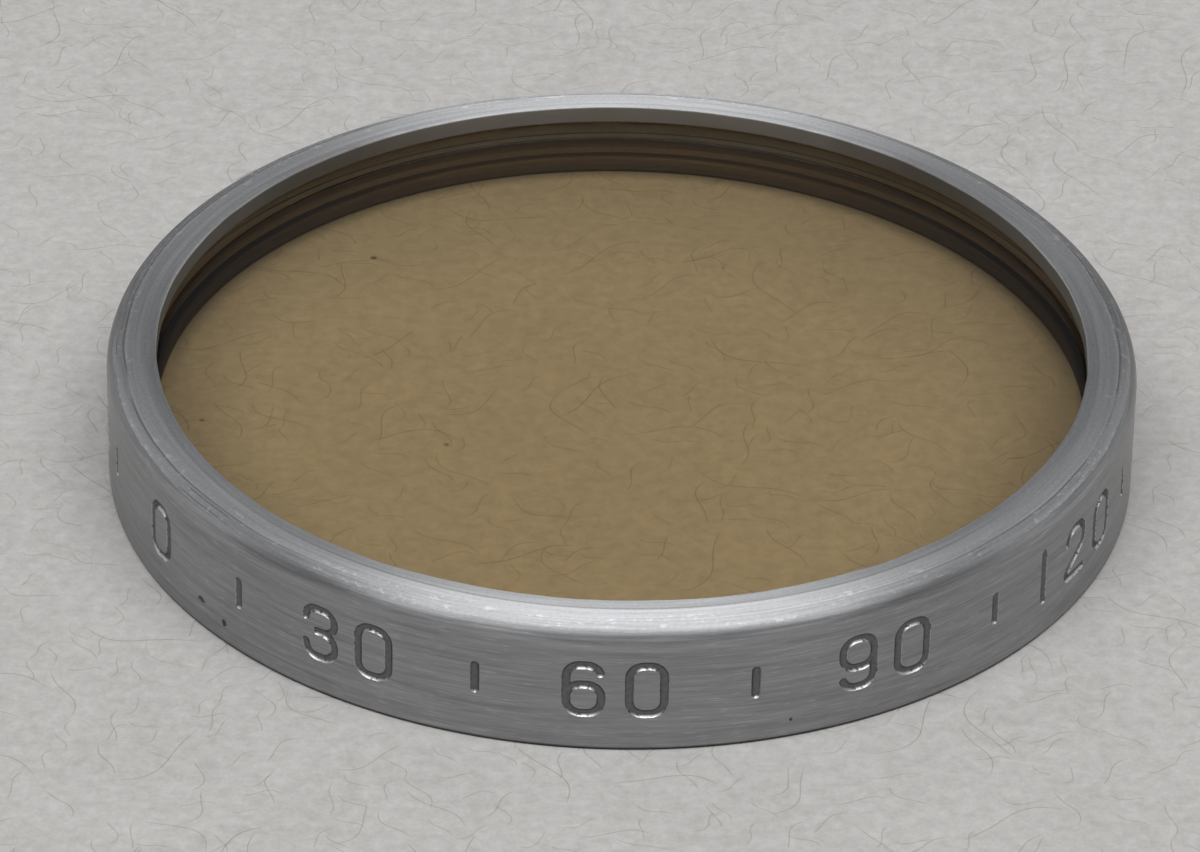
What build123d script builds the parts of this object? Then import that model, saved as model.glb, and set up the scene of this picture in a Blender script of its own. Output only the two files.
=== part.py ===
from build123d import *
from math import cos, radians, tan
import os

# A drop-in lens filter: a turned rim, and a film cemented between two glass discs.
# Millimetres. The origin is on the axis, at the seat face that the filter lies on, with +Z towards the rolled lip.

# Rim
rim_diameter = 30.2
rim_wall = 0.8
edge_break = 0.12

# Seat flange that the glass lies on
seat_thickness = 0.5
seat_reach = 0.65

# Lip rolled inwards over the glass
lip_thickness = 0.6
lip_reach = 0.65
lip_edge_break = 0.06
fold_break = 0.15

# Rolled shoulder, from the flat of the lip down to the cylinder
shoulder_radius = 0.6
shoulder_tilt = 8
ridge_width = 0.05

# Burnished land along the lip's edge, and the fine line that the roller leaves beside it
land_width = 0.32
land_tilt = 3
score_width = 0.09
score_depth = 0.03

# Glass and film
glass_play = 0.1
front_glass_thickness = 1.4
rear_glass_thickness = 1.4
glass_chamfer = 0.2
film_thickness = 0.1
film_margin = 0.3

# Radii, from the outside in
rim_radius = rim_diameter / 2
bore_radius = rim_radius - rim_wall
seat_radius = bore_radius - seat_reach
lip_radius = bore_radius - lip_reach
glass_radius = bore_radius - glass_play
film_radius = glass_radius - film_margin

# Heights, from the seat face up
rear_glass_base = seat_thickness
film_base = rear_glass_base + rear_glass_thickness
front_glass_base = film_base + film_thickness
lip_underside = front_glass_base + front_glass_thickness
rim_height = lip_underside + lip_thickness

# The shoulder leaves the flat at the ridge and falls at its tilt until the round takes over
shoulder_run = shoulder_radius * tan(radians(45 - shoulder_tilt / 2)) * cos(radians(shoulder_tilt)) + ridge_width
ridge_radius = rim_radius - shoulder_run
shoulder_corner = rim_height - shoulder_run * tan(radians(shoulder_tilt))

# The score is a fine V groove between the land and the flat
score_radius = lip_radius + land_width
score_inside = score_radius - score_width / 2
score_outside = score_radius + score_width / 2
land_edge = rim_height - (score_inside - lip_radius) * tan(radians(land_tilt))


def corner(sketch, radius, height):
    """The corner of a section that lies at this radius and height."""
    return sketch.vertices().sort_by_distance((radius, height))[0]


# Rim: one turned piece, the whole of its section revolved about the axis
with BuildPart() as rim:
    with BuildSketch(Plane.XZ) as section:
        with BuildLine():
            # Seat face, cylinder and shoulder
            Polyline((seat_radius, 0), (rim_radius, 0), (rim_radius, shoulder_corner), (ridge_radius, rim_height))
            # Flat, score and land
            Polyline(
                (ridge_radius, rim_height),
                (score_outside, rim_height),
                (score_radius, rim_height - score_depth),
                (score_inside, rim_height),
                (lip_radius, land_edge),
            )
            # Lip's edge and underside, bore and seat
            Polyline(
                (lip_radius, land_edge),
                (lip_radius, lip_underside),
                (bore_radius, lip_underside),
                (bore_radius, rear_glass_base),
                (seat_radius, rear_glass_base),
                (seat_radius, 0),
            )
        make_face()
        fillet(corner(section, rim_radius, shoulder_corner), radius=shoulder_radius)
        chamfer(corner(section, bore_radius, lip_underside), length=fold_break)
        for height in (land_edge, lip_underside):
            chamfer(corner(section, lip_radius, height), length=lip_edge_break)
        for radius, height in ((rim_radius, 0), (seat_radius, 0), (seat_radius, rear_glass_base)):
            chamfer(corner(section, radius, height), length=edge_break)
    revolve(axis=Axis.Z)
rim.part.label = "rim"

# Rear glass: the lower disc, ground with a chamfer where it drops into the seat
with BuildPart() as rear_glass:
    with BuildSketch(Plane.XY.offset(rear_glass_base)):
        Circle(glass_radius)
    extrude(amount=rear_glass_thickness)
    chamfer(rear_glass.edges().group_by(Axis.Z)[0], length=glass_chamfer)
rear_glass.part.label = "rear_glass"

# Film: cut smaller than the glass, so that the cement closes over its edge
with BuildPart() as gelatin_film:
    with BuildSketch(Plane.XY.offset(film_base)):
        Circle(film_radius)
    extrude(amount=film_thickness)
gelatin_film.part.label = "gelatin_film"

# Front glass: the upper disc, ground with a chamfer that clears the fold of the lip
with BuildPart() as front_glass:
    with BuildSketch(Plane.XY.offset(front_glass_base)):
        Circle(glass_radius)
    extrude(amount=front_glass_thickness)
    chamfer(front_glass.edges().group_by(Axis.Z)[-1], length=glass_chamfer)
front_glass.part.label = "front_glass"

os.makedirs("parts", exist_ok=True)
export_step(rim.part, "parts/rim.step")
export_step(rear_glass.part, "parts/rear_glass.step")
export_step(gelatin_film.part, "parts/gelatin_film.step")
export_step(front_glass.part, "parts/front_glass.step")
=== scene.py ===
# %% [markdown]
# # A drop-in lens filter
#
# This filter is a thin aluminium ring with a disc of amber glass in it. It was turned on a lathe, and once
# the glass lay on its seat, the top of the wall was rolled inwards over the edge, so that nothing else holds
# the glass. A round-nosed cutter then engraved the side. The frame gives the true sizes, and every piece is
# built to fit it.

# %% Load the frame
from math import cos, hypot, pi, radians, sin
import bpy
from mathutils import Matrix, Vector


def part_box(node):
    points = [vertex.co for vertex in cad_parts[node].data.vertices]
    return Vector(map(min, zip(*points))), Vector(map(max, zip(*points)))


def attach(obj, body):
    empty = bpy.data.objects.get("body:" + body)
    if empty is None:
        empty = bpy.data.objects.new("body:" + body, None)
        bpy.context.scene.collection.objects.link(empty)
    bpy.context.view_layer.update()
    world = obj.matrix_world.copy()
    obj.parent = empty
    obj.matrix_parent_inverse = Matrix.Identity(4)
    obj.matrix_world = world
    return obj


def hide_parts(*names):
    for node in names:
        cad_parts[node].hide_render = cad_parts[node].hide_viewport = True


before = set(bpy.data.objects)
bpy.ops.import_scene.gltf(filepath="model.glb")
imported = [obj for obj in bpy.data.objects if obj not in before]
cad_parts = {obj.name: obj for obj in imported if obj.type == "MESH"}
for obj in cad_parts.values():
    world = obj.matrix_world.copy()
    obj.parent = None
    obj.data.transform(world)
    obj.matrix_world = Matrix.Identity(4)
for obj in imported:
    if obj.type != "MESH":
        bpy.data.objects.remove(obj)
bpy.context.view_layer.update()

from types import SimpleNamespace

import bmesh
import bpy
from mathutils import Matrix, Vector

MM = 0.001
print("pieces in the frame:", sorted(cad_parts))

# %% [markdown]
# ## Where the camera stands
#
# The ring's own ellipses give the view away: how flat they are says how high the camera is, and how much
# smaller the far side is than the near side says how close. Everything else is fitted to the picture from
# here, so the camera comes first. It has a long lens, as for close work, and is rolled by about a degree.

# %% Place the camera
rim_radius = 15.1 * MM
camera_distance = 13.998 * rim_radius
camera_elevation = radians(32.851)
camera_roll = radians(1.148)
aim_right = radians(-0.1645)
aim_up = radians(0.2414)
focal_length = 214.0
film_width = 36


def place_camera():
    camera = bpy.data.objects.new("photo_camera", bpy.data.cameras.new("photo_camera"))
    bpy.context.scene.collection.objects.link(camera)
    away = Vector((0, -cos(camera_elevation), sin(camera_elevation)))
    right = Vector((1, 0, 0))
    up = Vector((0, sin(camera_elevation), cos(camera_elevation)))
    forward = (aim_right * right + aim_up * up - away).normalized()
    right = forward.cross(up).normalized()
    up = right.cross(forward)
    right, up = (
        cos(camera_roll) * right + sin(camera_roll) * up,
        cos(camera_roll) * up - sin(camera_roll) * right,
    )
    axes = Matrix((right, up, -forward)).transposed()
    camera.matrix_world = Matrix.Translation(away * camera_distance) @ axes.to_4x4()
    camera.data.sensor_width = film_width
    camera.data.lens = focal_length
    camera.data.clip_start = 0.01
    camera.data.clip_end = 20
    bpy.context.scene.camera = camera


place_camera()
print("camera", round(camera_distance / MM), "mm away, lens", focal_length, "mm")

# %% [markdown]
# ## Sizes
#
# What the frame can say is read from it: how high the ring is, and where each disc lies. The section of the
# rolled lip can't be read from a box, so its few sizes are named here, in millimetres turned into metres.

# %% Read the sizes that the frame gives
rim_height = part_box("rim")[1][2]
seat_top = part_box("rear_glass")[0][2]
film_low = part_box("gelatin_film")[0][2]
film_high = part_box("gelatin_film")[1][2]
lip_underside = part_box("front_glass")[1][2]
print("rim", round(rim_height / MM, 2), "mm high")
print("glass from", round(seat_top / MM, 2), "to", round(lip_underside / MM, 2), "mm")

# %% Name the sizes of the rim's section
bore_radius = 14.3 * MM
reach = 0.65 * MM
opening = bore_radius - reach
glass_radius = 14.2 * MM
film_radius = 13.9 * MM
shoulder_drop = 0.085 * MM
ridge_drop = 0.02 * MM
shoulder_round = 0.5216 * MM
ridge_round = 0.03 * MM
ridge_radius = 14.5335 * MM
score_radius = 13.97 * MM
score_width = 0.09 * MM
score_depth = 0.03 * MM
land_drop = 0.015 * MM
edge_break = 0.12 * MM
lip_edge_break = 0.06 * MM
fold_break = 0.15 * MM
hair = 0.01 * MM

# %% [markdown]
# ## Working in edit mode
#
# An operator acts on whatever is selected, so each step first picks out its faces, edges or vertices by where
# they lie. These helpers do that picking, and everything else is the operators that a modeller would use by
# hand.


# %% Pick geometry by its place
def only(piece):
    """Selects one piece and nothing else."""
    bpy.ops.object.select_all(action="DESELECT")
    piece.select_set(True)
    bpy.context.view_layer.objects.active = piece


def start_edit(piece):
    only(piece)
    bpy.ops.object.mode_set(mode="EDIT")
    bpy.ops.mesh.select_mode(type="VERT")
    bpy.ops.mesh.select_all(action="DESELECT")


def end_edit():
    bpy.ops.object.mode_set(mode="OBJECT")


def pick(piece, kind, wanted):
    """Selects the vertices, edges or faces whose every corner is wanted, and returns how many there are."""
    bpy.ops.mesh.select_mode(type=kind)
    bpy.ops.mesh.select_all(action="DESELECT")
    mesh = bmesh.from_edit_mesh(piece.data)
    count = 0
    for part in {"VERT": mesh.verts, "EDGE": mesh.edges, "FACE": mesh.faces}[kind]:
        if all(wanted(corner.co) for corner in ([part] if kind == "VERT" else part.verts)):
            part.select_set(True)
            count += 1
    mesh.select_flush_mode()
    bmesh.update_edit_mesh(piece.data)
    return count


def near(a, b, slack=0.002 * MM):
    return abs(a - b) < slack


def open_edges(piece):
    """How many edges don't have exactly two faces. A closed solid has none."""
    mesh = bmesh.new()
    mesh.from_mesh(piece.data)
    count = sum(1 for edge in mesh.edges if len(edge.link_faces) != 2)
    mesh.free()
    return count


# %% [markdown]
# ## The rim's section
#
# A turned piece is all in its section. It starts as the plain upright wall, a rectangle beside the axis. The
# seat grows inwards from its foot and the lip from its top, and then the rolled top gets its fine score line,
# its sloping land and its dropped shoulder. Last, the corners are rounded, each by its own amount.


# %% Draw the wall, the seat and the lip
def add_section():
    middle = ((bore_radius + rim_radius) / 2, 0, rim_height / 2)
    bpy.ops.mesh.primitive_plane_add(size=1, location=middle, rotation=(pi / 2, 0, 0))
    section = bpy.context.active_object
    section.name = "rim_turned"
    section.scale = (rim_radius - bore_radius, rim_height, 1)
    bpy.ops.object.transform_apply(location=True, rotation=True, scale=True)
    start_edit(section)
    for height in (seat_top, lip_underside):
        bpy.ops.mesh.select_all(action="SELECT")
        bpy.ops.mesh.bisect(plane_co=(0, 0, height), plane_no=(0, 0, 1))
    pick(section, "EDGE", lambda co: near(co.x, bore_radius) and co.z < seat_top + hair)
    bpy.ops.mesh.extrude_region_move(TRANSFORM_OT_translate={"value": (-reach, 0, 0)})
    pick(section, "EDGE", lambda co: near(co.x, bore_radius) and co.z > lip_underside - hair)
    bpy.ops.mesh.extrude_region_move(TRANSFORM_OT_translate={"value": (-reach, 0, 0)})
    end_edit()
    return section


rim = add_section()
print("section:", len(rim.data.vertices), "corners")


# %% Shape the rolled top
def shape_top(section):
    start_edit(section)
    score_edges = (score_radius - score_width / 2, score_radius, score_radius + score_width / 2)
    for radius in score_edges + (ridge_radius,):
        pick(section, "FACE", lambda co: co.z > lip_underside - hair)
        bpy.ops.mesh.bisect(plane_co=(radius, 0, 0), plane_no=(1, 0, 0))
    drops = (
        (score_radius, score_depth),
        (opening, land_drop),
        (ridge_radius, ridge_drop),
        (rim_radius, shoulder_drop),
    )
    for radius, drop in drops:
        pick(section, "VERT", lambda co: near(co.x, radius) and near(co.z, rim_height))
        bpy.ops.transform.translate(value=(0, 0, -drop))
    bpy.ops.mesh.select_mode(type="FACE")
    bpy.ops.mesh.select_all(action="SELECT")
    bpy.ops.mesh.dissolve_faces()
    end_edit()


shape_top(rim)
print("section now", len(rim.data.polygons), "face of", len(rim.data.vertices), "corners")


# %% Round the corners
def round_corners(section):
    """Each corner is given by its radius and height, the size of its round and how many steps it has."""
    start_edit(section)
    corners = (
        (rim_radius, rim_height - shoulder_drop, shoulder_round, 10),
        (ridge_radius, rim_height - ridge_drop, ridge_round, 2),
        (rim_radius, 0, edge_break, 3),
        (opening, 0, edge_break, 3),
        (opening, seat_top, edge_break, 3),
        (opening, rim_height - land_drop, lip_edge_break, 3),
        (opening, lip_underside, lip_edge_break, 2),
        (bore_radius, lip_underside, fold_break, 2),
    )
    for radius, height, size, steps in corners:
        found = pick(section, "VERT", lambda co: near(co.x, radius) and near(co.z, height))
        assert found == 1, (radius, height, found)
        bpy.ops.mesh.bevel(offset=size, segments=steps, affect="VERTICES", profile=0.5)
    end_edit()


round_corners(rim)
print("rounded section:", len(rim.data.vertices), "corners")

# %% [markdown]
# ## Turning it
#
# A lathe turns the work while the tool stands still, and Spin does the same: it carries the outline once
# round the axis. Only the outline may turn, so the section's own face goes first. With 720 steps, each facet
# of the wall is under a seventh of a millimetre wide, and the engraving can cut them without showing where
# they meet.

# %% Spin the outline
TURN_STEPS = 720


def turn(section):
    start_edit(section)
    bpy.ops.mesh.select_mode(type="FACE")
    bpy.ops.mesh.select_all(action="SELECT")
    bpy.ops.mesh.delete(type="ONLY_FACE")
    bpy.ops.mesh.select_mode(type="VERT")
    bpy.ops.mesh.select_all(action="SELECT")
    bpy.ops.mesh.spin(steps=TURN_STEPS, angle=2 * pi, center=(0, 0, 0), axis=(0, 0, 1))
    bpy.ops.mesh.select_all(action="SELECT")
    bpy.ops.mesh.remove_doubles(threshold=0.001 * MM)
    bpy.ops.mesh.normals_make_consistent(inside=False)
    end_edit()


turn(rim)
print("turned rim:", len(rim.data.polygons), "faces,", open_edges(rim), "open edges")

# %% [markdown]
# ## The engraver's cutter
#
# A round-nosed cutter leaves the path of a ball. So each stroke here is a ball whose front half is drawn
# along the stroke: extruded where it runs straight, spun where it turns. Taken out of the wall, it leaves a
# groove with a round floor and round ends. A closed stroke, such as a nought, is a hoop carried round until
# it meets itself.
#
# The strokes of one figure cross or meet. Each is cut in one of two passes, in which nothing overlaps, and
# the second cutter is a hair wider, so that where two strokes meet, the later one takes all of the earlier
# one.

# %% Name the cutter's sizes
nose_radius = 0.155 * MM
cut_depth = 0.08 * MM
pass_growth = (1, 1.012)
cutter_sides = 24
turn_per_side = 12
figure_foot = 1.24 * MM
cutter_y = -(rim_radius + nose_radius - cut_depth)


# %% Draw a stroke with a pen
def add_nose(at, heading, radius, closed):
    """A ball of the cutter's size at the front of the rim, its front half selected, or a hoop if closed."""
    add = bpy.ops.mesh.primitive_circle_add if closed else bpy.ops.mesh.primitive_uv_sphere_add
    shape = {"vertices": cutter_sides} if closed else {"segments": cutter_sides, "ring_count": 8}
    middle = Vector((at[0], cutter_y, at[1]))
    add(radius=radius, location=middle, rotation=(0, pi / 2 - radians(heading), 0), **shape)
    nose = bpy.context.active_object
    bpy.ops.object.transform_apply(location=True, rotation=True, scale=True)
    ahead = Vector((cos(radians(heading)), 0, sin(radians(heading))))
    start_edit(nose)
    if closed:
        bpy.ops.mesh.select_all(action="SELECT")
    else:
        pick(nose, "FACE", lambda co: (co - middle).dot(ahead) > -0.01 * radius)
    return nose


def turn_pen(at, angle, bend, sweep):
    """Where a pen is after it turns at this radius by this many degrees, and the middle of the turn."""
    side = 1 if sweep > 0 else -1
    middle = (at[0] - side * bend * sin(radians(angle)), at[1] + side * bend * cos(radians(angle)))
    angle += sweep
    at = (middle[0] + side * bend * sin(radians(angle)), middle[1] - side * bend * cos(radians(angle)))
    return at, angle, middle


def draw(start, angle, moves, radius, closed):
    """One stroke. It heads at an angle, goes on by each plain length, and turns by each (radius, degrees)."""
    at = (start[0], start[1] + figure_foot)
    stroke = add_nose(at, angle, radius, closed)
    for move in moves:
        if isinstance(move, tuple):
            at, angle, middle = turn_pen(at, angle, *move)
            steps = max(3, round(abs(move[1]) / turn_per_side))
            centre = (middle[0], cutter_y, middle[1])
            bpy.ops.mesh.spin(steps=steps, angle=radians(move[1]), center=centre, axis=(0, 1, 0))
        else:
            ahead = (move * cos(radians(angle)), 0, move * sin(radians(angle)))
            bpy.ops.mesh.extrude_region_move(TRANSFORM_OT_translate={"value": ahead})
            at = (at[0] + ahead[0], at[1] + ahead[2])
    bpy.ops.mesh.select_all(action="SELECT")
    if closed:
        bpy.ops.mesh.remove_doubles(threshold=0.001 * MM)
    bpy.ops.mesh.normals_make_consistent(inside=False)
    end_edit()
    return stroke


# %% [markdown]
# ## The figures
#
# The side of the ring is engraved all round in plain single-stroke characters. It carries a plain scale
# here: a number every thirty degrees, and a short mark between two numbers. Each figure is a list of strokes.
# A stroke says which pass cuts it, where it starts, which way it heads, how it moves, and whether it closes
# on itself.

# %% Name the sizes of the figures
half_width = 0.49 * MM
figure_height = 1.6 * MM
corner = 0.4 * MM
small_corner = 0.36 * MM
sharp = 0.16 * MM
waist = 0.85 * MM
bowl = 0.95 * MM
two_drop = 0.08 * MM
three_tongue = 0.1 * MM
four_post = 0.22 * MM
four_bar = 0.45 * MM
five_tuck = 0.03 * MM
eight_tuck = 0.05 * MM
mark_foot = 0.4 * MM
mark_height = 0.8 * MM
two_lean, four_lean, seven_lean = 57, 37, 25


# %% List the strokes of the figures
def ring(low, high, width, bend):
    """A closed stroke with straight sides and round corners, from its right side up and round to the left."""
    side = (high - low) / 2 - bend
    top = 2 * (width - bend)
    moves = [side, (bend, 90), top, (bend, 90), 2 * side, (bend, 90), top, (bend, 90), side]
    return ((width, (low + high) / 2), 90, moves, True)


def diagonal(start_height, foot, lean):
    """The slope down to the left that turns sharply onto a foot: its length, and how far left it goes."""
    length = (start_height - foot - sharp * (1 + sin(radians(lean)))) / cos(radians(lean))
    return length, length * sin(radians(lean)) - sharp * cos(radians(lean))


def two_moves(w, h, r):
    at = (w - r + r * cos(radians(two_lean)), h - r - two_drop - r * sin(radians(two_lean)))
    slope, left = diagonal(at[1], 0, two_lean)
    foot = w - at[0] + left
    return [(r, -90), 2 * (w - r), (r, -90), two_drop, (r, -two_lean), slope, (sharp, 90 + two_lean), foot]


def five_moves(w, h, r):
    top = [2 * w - five_tuck - sharp, (sharp, 90), h - bowl - 2 * sharp, (sharp, 90)]
    return top + [2 * w - r - sharp, (r, -90), bowl - 2 * r, (r, -90), 2 * (w - r), (r, -80)]


def list_figures():
    w, h, r, s = half_width, figure_height, corner, small_corner
    flat = 2 * (w - r)
    three_top = [(s, -90), 2 * (w - s), (s, -90), h - waist - 2 * s, (s, -90), w - s + three_tongue]
    three_low = [w - r + three_tongue, (r, -90), waist - 2 * r, (r, -90), flat, (r, -90)]
    four_slope, four_left = diagonal(h, four_bar, four_lean)
    four_low = [four_slope, (sharp, 90 + four_lean), w - four_post + four_left]
    seven_slope = (h - sharp - sharp * sin(radians(seven_lean))) / cos(radians(seven_lean))
    tail = [h - r - bowl / 2, (r, -90), flat, (r, -70)]
    bowl_moves = ring(0, bowl, w, r)[2]
    return {
        "0": [(0, *ring(0, h, w, r))],
        "1": [(0, (0, 0), 90, [h], False)],
        "2": [(0, (-w, h - r), 90, two_moves(w, h, r), False)],
        "3": [(0, (-w, h - s), 90, three_top, False), (1, (-three_tongue, waist), 0, three_low, False)],
        "4": [(0, (four_post, h), -90 - four_lean, four_low, False), (1, (four_post, h), -90, [h], False)],
        "5": [(0, (w - five_tuck, h), 180, five_moves(w, h, r), False)],
        "6": [(0, *ring(0, bowl, w, r)), (1, (-w, bowl / 2), 90, tail, False)],
        "7": [(0, (-w, h), 0, [2 * w - sharp, (sharp, -90 - seven_lean), seven_slope], False)],
        "8": [(0, *ring(0, waist, w, r)), (1, *ring(waist, h, w - eight_tuck, s))],
        "9": [(0, (-w, h - bowl / 2), -90, bowl_moves, True), (1, (w, h - bowl / 2), -90, tail, False)],
        "|": [(0, (0, mark_foot), 90, [mark_height], False)],
    }


FIGURES = list_figures()
print("figures:", " ".join(FIGURES))


# %% Cut each figure's tools once
def join(pieces, name):
    bpy.ops.object.select_all(action="DESELECT")
    for piece in pieces:
        piece.select_set(True)
    bpy.context.view_layer.objects.active = pieces[0]
    if len(pieces) > 1:
        bpy.ops.object.join()
    joined = bpy.context.active_object
    joined.name = name
    return joined


def make_tools():
    """One solid for each figure and pass, standing at the front of the rim."""
    tools = {}
    for figure, strokes in FIGURES.items():
        for pass_number in (0, 1):
            radius = nose_radius * pass_growth[pass_number]
            mine = [stroke for stroke in strokes if stroke[0] == pass_number]
            drawn = [draw(*stroke[1:4], radius, stroke[4]) for stroke in mine]
            if drawn:
                tools[figure, pass_number] = join(drawn, "tool")
    return tools


tools = make_tools()
print("tools:", len(tools), "with open edges:", sum(open_edges(tool) for tool in tools.values()))

# %% [markdown]
# ## Engraving the side
#
# Each figure of a number is a copy of its tool, turned about the axis to its place. The scale starts at the
# left and rises to the right, as it reads from outside. All the tools of one pass are joined into one cutter,
# and one boolean takes it out of the rim.

# %% Engrave the scale
figure_pitch = 1.76 * MM
scale_start = -60
scale_step = 30
pitch_angle = figure_pitch / rim_radius


def place(tool, angle):
    copy = tool.copy()
    copy.data = tool.data.copy()
    bpy.context.scene.collection.objects.link(copy)
    copy.rotation_euler = (0, 0, angle)
    only(copy)
    bpy.ops.object.transform_apply(location=False, rotation=True, scale=False)
    return copy


def spread(number):
    """The figures of a number and how far round each lies from its middle, then the mark that follows it."""
    text = str(number)
    first = -(len(text) - 1) / 2
    figures = [(figure, (i + first) * pitch_angle) for i, figure in enumerate(text)]
    return figures + [("|", radians(scale_step / 2))]


def engrave(piece):
    cutters = {0: [], 1: []}
    for number in range(0, 360, scale_step):
        middle = radians(scale_start + number)
        for figure, offset in spread(number):
            for pass_number in (0, 1):
                if (figure, pass_number) in tools:
                    cutters[pass_number].append(place(tools[figure, pass_number], middle + offset))
    for placed in cutters.values():
        cutter = join(placed, "cutter")
        cut = piece.modifiers.new("engraving", "BOOLEAN")
        cut.operation = "DIFFERENCE"
        cut.solver = "MANIFOLD"
        cut.object = cutter
        only(piece)
        bpy.ops.object.modifier_apply(modifier=cut.name)
        bpy.data.objects.remove(cutter, do_unlink=True)
    for tool in tools.values():
        bpy.data.objects.remove(tool, do_unlink=True)


engrave(rim)
print("engraved rim:", len(rim.data.polygons), "faces,", open_edges(rim), "open edges")

# %% [markdown]
# ## Finishing the turned rim
#
# The lip was rolled by hand pressure, so its edge isn't a perfect circle. All of it lies a little nearer the
# far side, and it wanders by a few hundredths of a millimetre. A Displace modifier with a soft cloud pattern
# gives the wander, to the vertices of that edge alone, and a plain move gives the rest.
#
# In the shading, corners that the tool left sharp stay sharp, and the rounded ones are smooth. The angle at
# the lip's lower corner changes as the edge wanders, so that corner is marked as sharp all round before.

# %% Name how far the roller left the edge off
lip_wander = 0.05 * MM
wander_size = 1.6 * MM
lip_shift = 0.14 * MM
moved_inside = opening + 0.09 * MM
wandering_inside = opening + 0.07 * MM
wandering_above = lip_underside + 0.04 * MM
smooth_under = radians(25)


# %% Roll the lip's edge by hand
def keep_sharp(piece):
    """Marks the lower corner of the lip's edge, so that it stays sharp wherever the edge wanders."""
    corner_height = lip_underside + lip_edge_break
    start_edit(piece)
    count = pick(piece, "EDGE", lambda co: near(hypot(co.x, co.y), opening) and near(co.z, corner_height))
    bpy.ops.mesh.mark_sharp()
    end_edit()
    return count


def wander(piece):
    edge = piece.vertex_groups.new(name="lip_edge")
    corners = [v for v in piece.data.vertices if hypot(v.co.x, v.co.y) < wandering_inside]
    edge.add([v.index for v in corners if v.co.z > wandering_above], 1, "REPLACE")
    clouds = bpy.data.textures.new("hand_rolled", "CLOUDS")
    clouds.noise_scale = wander_size
    clouds.noise_depth = 1
    push = piece.modifiers.new("hand_rolled", "DISPLACE")
    push.texture = clouds
    push.texture_coords = "LOCAL"
    push.vertex_group = edge.name
    push.direction = "NORMAL"
    push.strength = lip_wander
    push.mid_level = 0.5
    only(piece)
    bpy.ops.object.modifier_apply(modifier=push.name)
    bpy.data.textures.remove(clouds)


def shift_lip(piece):
    """Moves the whole edge of the lip a little to the far side, where the roller pressed less."""
    start_edit(piece)
    count = pick(piece, "VERT", lambda co: hypot(co.x, co.y) < moved_inside and co.z > lip_underside - hair)
    bpy.ops.transform.translate(value=(0, lip_shift, 0))
    end_edit()
    return count


print("sharp edges kept:", keep_sharp(rim))
wander(rim)
print("lip edge:", shift_lip(rim), "corners moved")
only(rim)
bpy.ops.object.shade_smooth_by_angle(angle=smooth_under)
print("lip edge wanders, open edges:", open_edges(rim))

# %% [markdown]
# ## The cemented glass
#
# The filter's colour is a dyed film, cemented between two clear discs. Cement stops the inner faces from
# bending or mirroring light, so only the two outer faces are true glass surfaces. Each disc is a cylinder
# whose outer edge is ground with a chamfer, and its faces get three finishes: polished outside, cemented
# inside and ground round the edge. The film is a thinner disc, a hair clear of both.

# %% Cut the discs
glass_chamfer = 0.2 * MM
disc_smooth_under = radians(32)
DISC_SIDES = 360


def add_disc(name, radius, low, high):
    middle = (0, 0, (low + high) / 2)
    size = {"radius": radius, "depth": high - low}
    bpy.ops.mesh.primitive_cylinder_add(vertices=DISC_SIDES, location=middle, **size)
    disc = bpy.context.active_object
    disc.name = name
    bpy.ops.object.transform_apply(location=True, rotation=True, scale=True)
    return disc


def grind_edge(disc, height):
    start_edit(disc)
    pick(disc, "EDGE", lambda co: near(co.z, height))
    bpy.ops.mesh.bevel(offset=glass_chamfer, segments=1, affect="EDGES")
    end_edit()


front = add_disc("glass_front", glass_radius, film_high, lip_underside)
grind_edge(front, lip_underside)
rear = add_disc("glass_rear", glass_radius, seat_top, film_low)
grind_edge(rear, seat_top)
film = add_disc("film_amber", film_radius, film_low + hair, film_high - hair)
for disc in (front, rear, film):
    only(disc)
    bpy.ops.object.shade_smooth_by_angle(angle=disc_smooth_under)
print("discs:", [len(disc.data.polygons) for disc in (front, rear, film)], "faces")

# %% [markdown]
# ## Materials
#
# The finishes are built from nodes. A pattern that more than one finish uses is a node group: it takes the
# object's own coordinates and puts out a mask or a height, and each material decides what to do with it.
# Lengths in the groups are millimetres, because a pattern on a small ring is easier to judge that way.


# %% Helpers that place and join nodes
def add_node(tree, kind, inputs=None, **settings):
    """A node, with its inputs set to values or joined to other nodes' outputs."""
    made = tree.nodes.new("ShaderNode" + kind)
    for name, value in settings.items():
        setattr(made, name, value)
    for name, value in (inputs or {}).items():
        if isinstance(value, bpy.types.NodeSocket):
            tree.links.new(value, made.inputs[name])
        else:
            made.inputs[name].default_value = value
    return made


def new_group(name, inputs, outputs):
    group = bpy.data.node_groups.new(name, "ShaderNodeTree")
    for socket, kind, value in inputs:
        made = group.interface.new_socket(socket, in_out="INPUT", socket_type="NodeSocket" + kind)
        if value is not None:
            made.default_value = value
    for socket, kind in outputs:
        group.interface.new_socket(socket, in_out="OUTPUT", socket_type="NodeSocket" + kind)
    return group, group.nodes.new("NodeGroupInput").outputs, group.nodes.new("NodeGroupOutput").inputs


# %% Helpers for sums on numbers and vectors
def maths(tree, operation, *values):
    return add_node(tree, "Math", dict(enumerate(values)), operation=operation).outputs[0]


def times_plus(tree, value, by, plus):
    return maths(tree, "MULTIPLY_ADD", value, by, plus)


def distance_from(tree, value, middle):
    return maths(tree, "ABSOLUTE", maths(tree, "SUBTRACT", value, middle))


def sway(tree, value, noise, amount):
    """A value moved to and fro by a noise that lies around a half."""
    return times_plus(tree, maths(tree, "SUBTRACT", noise, 0.5), amount, value)


def vectors(tree, operation, *values):
    return add_node(tree, "VectorMath", dict(enumerate(values)), operation=operation).outputs[0]


def lengthen(tree, vector, by):
    return add_node(tree, "VectorMath", {0: vector, "Scale": by}, operation="SCALE").outputs[0]


def length_of(tree, vector):
    return add_node(tree, "VectorMath", {0: vector}, operation="LENGTH").outputs["Value"]


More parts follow.
